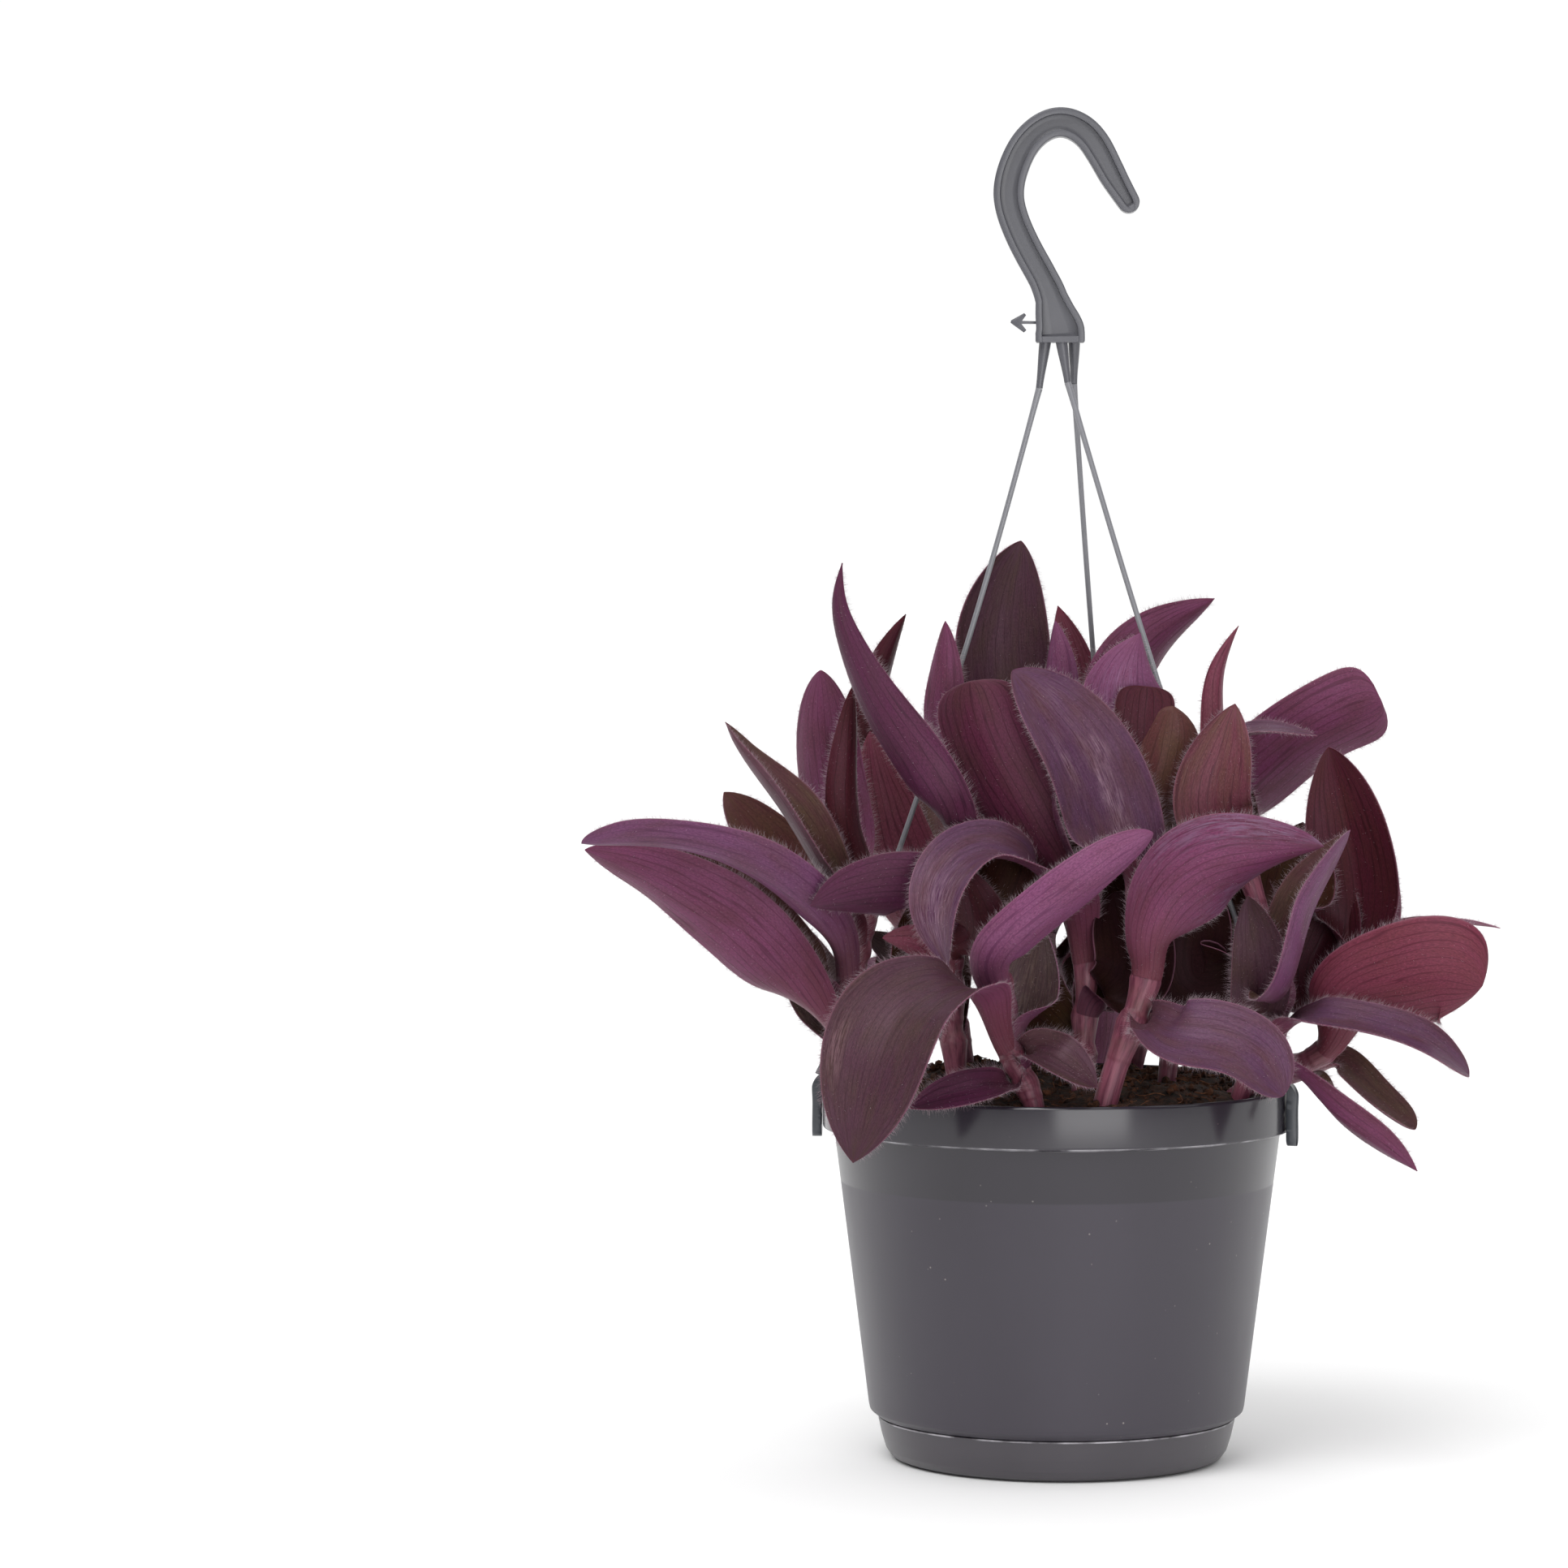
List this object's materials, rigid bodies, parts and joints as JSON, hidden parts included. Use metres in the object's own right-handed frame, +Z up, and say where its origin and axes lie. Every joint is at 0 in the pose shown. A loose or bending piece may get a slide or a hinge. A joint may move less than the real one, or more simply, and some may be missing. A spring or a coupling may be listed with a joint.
{
  "type": "potted tradescantia",
  "caption": "Purple tradescantia with fleshy hairy leaves on upright stems, in a grey plastic hanging pot with saucer, taut strands and a moulded hook.",
  "frame": {"origin": "centre of the saucer's underside, under the pot's axis", "axes": "+Z up along the pot's axis towards the hook, -Y the front that the picture shows, +X to the right of it"},
  "size_m": [0.3283, 0.2431, 0.4887],
  "materials": {
    "pot_plastic": "injection moulded, fine matt grain, glossy rim band",
    "saucer_plastic": "injection moulded, satin",
    "hanger_plastic": "injection moulded, satin",
    "peat": "damp crumbly peat with fibres",
    "stem": "fleshy, pink striped",
    "leaf_magenta": "fleshy, veined, hairy margin",
    "leaf_plum": "fleshy, veined, hairy margin",
    "leaf_mauve": "fleshy, veined, hairy margin",
    "leaf_slate": "fleshy, veined, silky sheen",
    "leaf_olive": "fleshy, veined, hairy margin",
    "leaf_maroon": "fleshy, veined, hairy margin",
    "leaf_rust": "fleshy, veined, hairy margin",
    "leaf_rose": "fleshy, veined, hairy margin"
  },
  "bodies": {
    "root": {"hanger_hook": "hanger_plastic", "hanger_strand_back": "hanger_plastic", "hanger_strand_left": "hanger_plastic", "hanger_strand_right": "hanger_plastic", "leaf_arch": "leaf_slate", "leaf_back_drape_left": "leaf_magenta", "leaf_back_drape_mid": "leaf_slate", "leaf_back_drape_right": "leaf_magenta", "leaf_back_high_left": "leaf_olive", "leaf_back_high_right": "leaf_olive", "leaf_back_mid": "leaf_plum", "leaf_bent_tip": "leaf_magenta", "leaf_dark_fold": "leaf_olive", "leaf_fan": "leaf_magenta", "leaf_finger": "leaf_magenta", "leaf_front_broad": "leaf_slate", "leaf_front_drape": "leaf_slate", "leaf_front_right": "leaf_slate", "leaf_left_arch": "leaf_mauve", "leaf_left_behind": "leaf_olive", "leaf_left_low": "leaf_magenta", "leaf_left_rise": "leaf_olive", "leaf_left_rust": "leaf_rust", "leaf_left_tall": "leaf_magenta", "leaf_long_blade": "leaf_mauve", "leaf_low_centre": "leaf_plum", "leaf_low_left": "leaf_plum", "leaf_olive_mid": "leaf_olive", "leaf_point_left": "leaf_plum", "leaf_right_cup": "leaf_olive", "leaf_right_curl": "leaf_rose", "leaf_right_high": "leaf_magenta", "leaf_right_sickle": "leaf_maroon", "leaf_right_strap": "leaf_slate", "leaf_right_thin": "leaf_rose", "leaf_right_upright": "leaf_rose", "leaf_right_wing": "leaf_rose", "leaf_rim_right_high": "leaf_olive", "leaf_rim_right_low": "leaf_magenta", "leaf_square_tip": "leaf_plum", "leaf_top": "leaf_slate", "leaf_top_behind": "leaf_rust", "leaf_top_right": "leaf_magenta", "pot": "pot_plastic", "potting_mix": "peat", "rim_clip_back": "hanger_plastic", "rim_clip_left": "hanger_plastic", "rim_clip_right": "hanger_plastic", "saucer": "saucer_plastic", "stem_back": "stem", "stem_back_left": "stem", "stem_back_right": "stem", "stem_far_right": "stem", "stem_front_left": "stem", "stem_front_mid": "stem", "stem_inner": "stem", "stem_left": "stem", "stem_mid_left": "stem", "stem_right": "stem", "stem_upper_right": "stem"}
  },
  "joints": []
}
